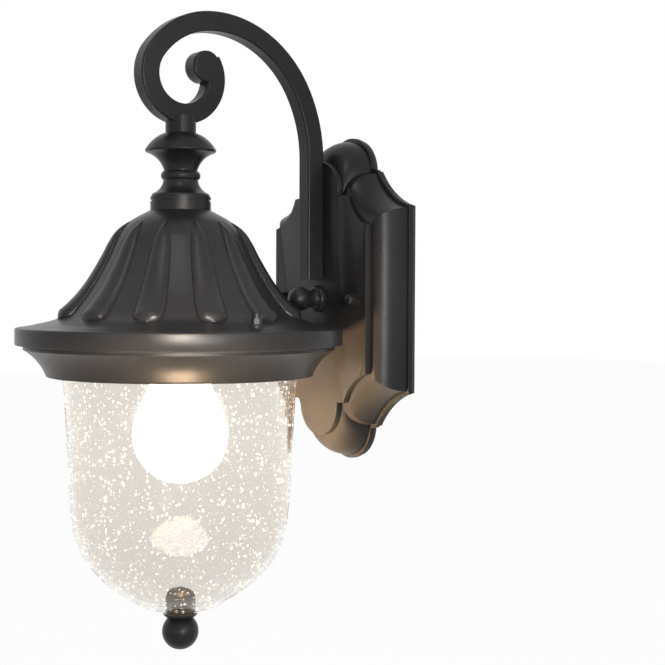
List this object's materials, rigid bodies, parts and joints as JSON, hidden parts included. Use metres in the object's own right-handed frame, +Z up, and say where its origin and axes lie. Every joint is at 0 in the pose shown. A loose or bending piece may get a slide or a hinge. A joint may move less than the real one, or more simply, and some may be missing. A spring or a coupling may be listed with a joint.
{
  "type": "outdoor wall lantern",
  "caption": "Black wall lantern: lobed roof and seeded glass globe hung from a scroll arm on a shaped wall plate, with a screw-in bulb and a drop-down globe.",
  "frame": {"origin": "middle of the two box-screw slots, on the wall", "axes": "+Y into the wall, the lantern stands out along -Y, +Z up, +X to the right seen from the front"},
  "size_m": [0.2046, 0.2413, 0.4046],
  "materials": {
    "black_coat": "cast, satin black powder coat with a very fine grain",
    "zinc_steel": "bright zinc plate",
    "seeded_glass": "clear, full of small blown bubbles",
    "frosted_glass": "frosted inside, lit",
    "clear_glass": "clear",
    "brass": "satin",
    "aged_bronze": "dark, satin",
    "nickel_cap": "thin rolled shell",
    "socket_metal": "satin",
    "porcelain": "glazed ceramic",
    "bulb_black_glass": "black glass insulator",
    "tungsten": "fine wire",
    "foam": "closed-cell foam",
    "rubber": "matt",
    "green_screw": "green chromate",
    "connector_plastic": "ribbed moulded",
    "black_insulation": "satin sleeve",
    "white_insulation": "satin sleeve"
  },
  "bodies": {
    "wall_frame": {"backplate": "black_coat", "wall_gasket": "foam", "mounting_cross": "zinc_steel", "mounting_studs": "zinc_steel", "stud_lock_nuts": "zinc_steel", "ground_screw": "green_screw", "wire_connectors": "connector_plastic", "center_knob": "black_coat", "knob_nut": "zinc_steel", "scroll_arm": "black_coat", "arm_screws": "zinc_steel", "neck_spindle": "black_coat", "roof_collar": "black_coat", "nipple": "zinc_steel", "nipple_nuts": "zinc_steel", "roof": "black_coat", "roof_washer": "zinc_steel", "ring_gasket": "rubber", "socket_cap": "socket_metal", "socket_body": "porcelain", "socket_shell": "brass", "socket_contact": "brass", "terminal_screws": "zinc_steel", "lead_black": "black_insulation", "lead_white": "white_insulation"},
    "globe_assembly": {"globe_ring": "black_coat", "ring_studs": "zinc_steel", "globe": "seeded_glass", "globe_cushion": "rubber", "globe_snap_ring": "zinc_steel", "finial_nut": "aged_bronze", "finial_washers": "rubber"},
    "finial": {"finial": "black_coat"},
    "bulb_tip": {"bulb_contact": "nickel_cap"},
    "bulb": {"bulb_envelope": "frosted_glass", "bulb_cap": "nickel_cap", "bulb_insulator": "bulb_black_glass", "bulb_stem": "clear_glass", "bulb_filament": "tungsten"},
    "ring_nut_left": {"ring_nut_left": "black_coat"},
    "ring_nut_right": {"ring_nut_right": "black_coat"},
    "plate_nut_left": {"plate_nut_left": "black_coat"},
    "plate_nut_right": {"plate_nut_right": "black_coat"}
  },
  "joints": [
    {"name": "globe_drop", "type": "slide", "parent": "wall_frame", "child": "globe_assembly", "axis": [0, 0, -1], "range_m": [0, 0.12]},
    {"name": "finial_turn", "type": "hinge", "parent": "globe_assembly", "child": "finial", "pos_m": [0, -0.139, -0.199], "axis": [0, 0, 1], "continuous": true},
    {"name": "bulb_advance", "type": "slide", "parent": "wall_frame", "child": "bulb_tip", "axis": [0, 0, -1], "range_m": [0, 0.018]},
    {"name": "bulb_turn", "type": "hinge", "parent": "bulb_tip", "child": "bulb", "pos_m": [0, -0.139, -0.02], "axis": [0, 0, -1], "range_deg": [0, 1780]},
    {"name": "ring_nut_left_turn", "type": "hinge", "parent": "wall_frame", "child": "ring_nut_left", "pos_m": [-0.0877, -0.139, -0.0136], "axis": [0, 0, 1], "continuous": true},
    {"name": "ring_nut_right_turn", "type": "hinge", "parent": "wall_frame", "child": "ring_nut_right", "pos_m": [0.0877, -0.139, -0.0136], "axis": [0, 0, 1], "continuous": true},
    {"name": "plate_nut_left_turn", "type": "hinge", "parent": "wall_frame", "child": "plate_nut_left", "pos_m": [-0.0425, -0.032, 0], "axis": [0, -1, 0], "continuous": true},
    {"name": "plate_nut_right_turn", "type": "hinge", "parent": "wall_frame", "child": "plate_nut_right", "pos_m": [0.0425, -0.032, 0], "axis": [0, -1, 0], "continuous": true}
  ],
  "couplings": [
    {"joint": "bulb_advance", "follows": "bulb_turn", "m_per_rad": 0.00057773}
  ]
}
